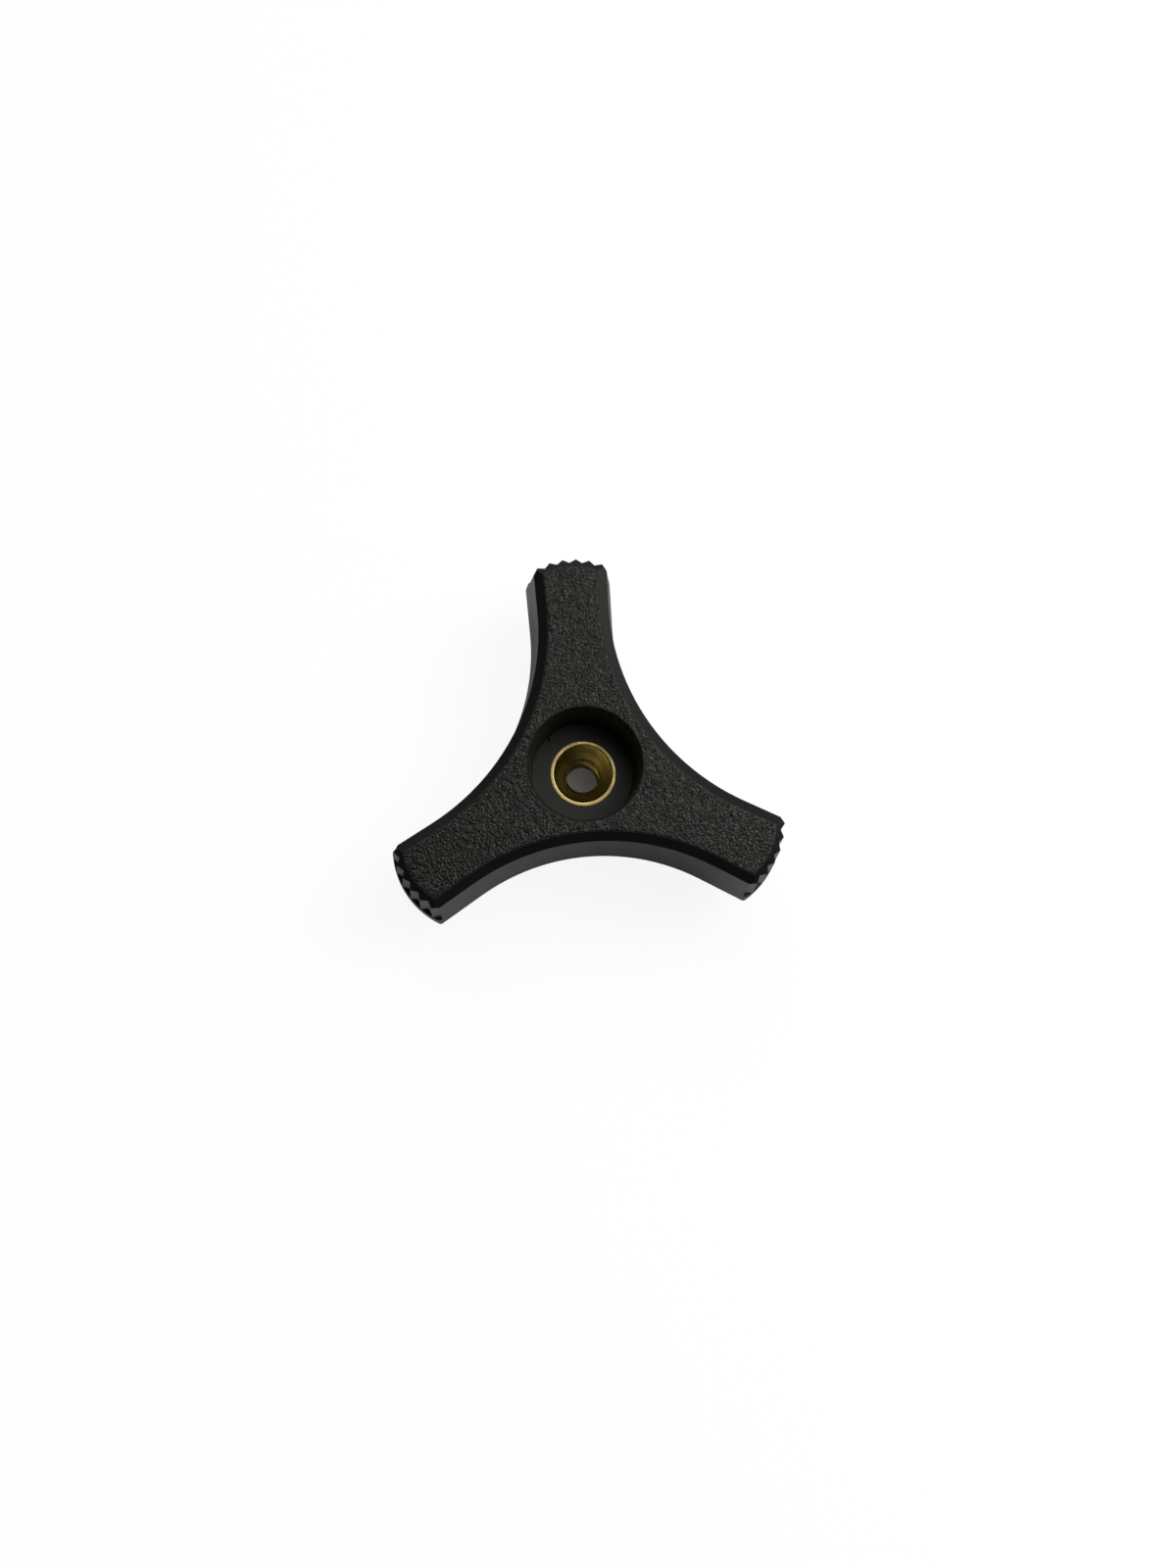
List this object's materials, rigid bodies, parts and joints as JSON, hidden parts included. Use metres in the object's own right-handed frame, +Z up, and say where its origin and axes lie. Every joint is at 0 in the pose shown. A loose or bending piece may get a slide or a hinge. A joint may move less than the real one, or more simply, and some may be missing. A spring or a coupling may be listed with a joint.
{
  "type": "star knob",
  "caption": "Star knob with radiating arms, serrated arm tips and a bevelled grained top; a through-threaded brass insert sits in a recessed hub above a short boss.",
  "frame": {"origin": "on the hub's axis, in the seat face at the foot of the boss, where the threaded bore opens", "axes": "+Z up the hub's axis towards the flat top face, +Y along the middle of one arm"},
  "size_m": [0.0584, 0.0522, 0.022],
  "materials": {
    "moulded_body": "black moulded polyamide, fine grain on the top face and smooth on the sides",
    "insert": "turned brass with fine lathe marks"
  },
  "bodies": {
    "root": {"knob_body": "moulded_body", "brass_insert": "insert"}
  },
  "joints": []
}
